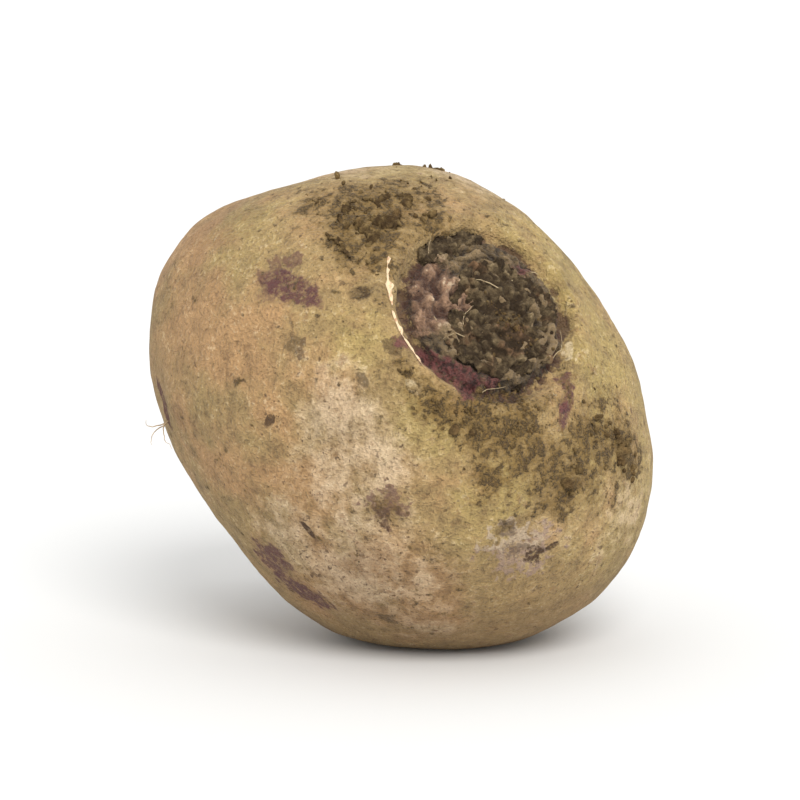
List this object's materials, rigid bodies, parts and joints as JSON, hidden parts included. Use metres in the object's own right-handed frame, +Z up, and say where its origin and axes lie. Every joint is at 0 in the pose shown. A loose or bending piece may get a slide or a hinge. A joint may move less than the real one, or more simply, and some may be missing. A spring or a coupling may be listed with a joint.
{
  "type": "beetroot",
  "caption": "Raw beetroot lying on its side: lopsided globe with a ringed leaf crown, tapering tap root and dried soil on the crown and shoulder.",
  "frame": {"origin": "on the resting surface, below the middle of the object's box", "axes": "+Z up from the surface it rests on; the crown looks towards -Y, lifted and turned a little to +X; the tap root points towards +Y and down"},
  "size_m": [0.0894, 0.086, 0.0852],
  "materials": {
    "beetroot_skin": "matte, corky tan skin with fine dark specks, small purple scars and a dull brown crown",
    "dried_soil": "crumbly dried soil, fully matte, grey-brown"
  },
  "bodies": {
    "root": {"beetroot": "beetroot_skin", "crown_soil": "dried_soil", "crown_rim_soil": "dried_soil", "shoulder_soil": "dried_soil", "soil_crumb_1": "dried_soil", "soil_crumb_2": "dried_soil", "soil_crumb_3": "dried_soil", "soil_crumb_4": "dried_soil", "soil_crumb_5": "dried_soil", "soil_crumb_6": "dried_soil"}
  },
  "joints": []
}
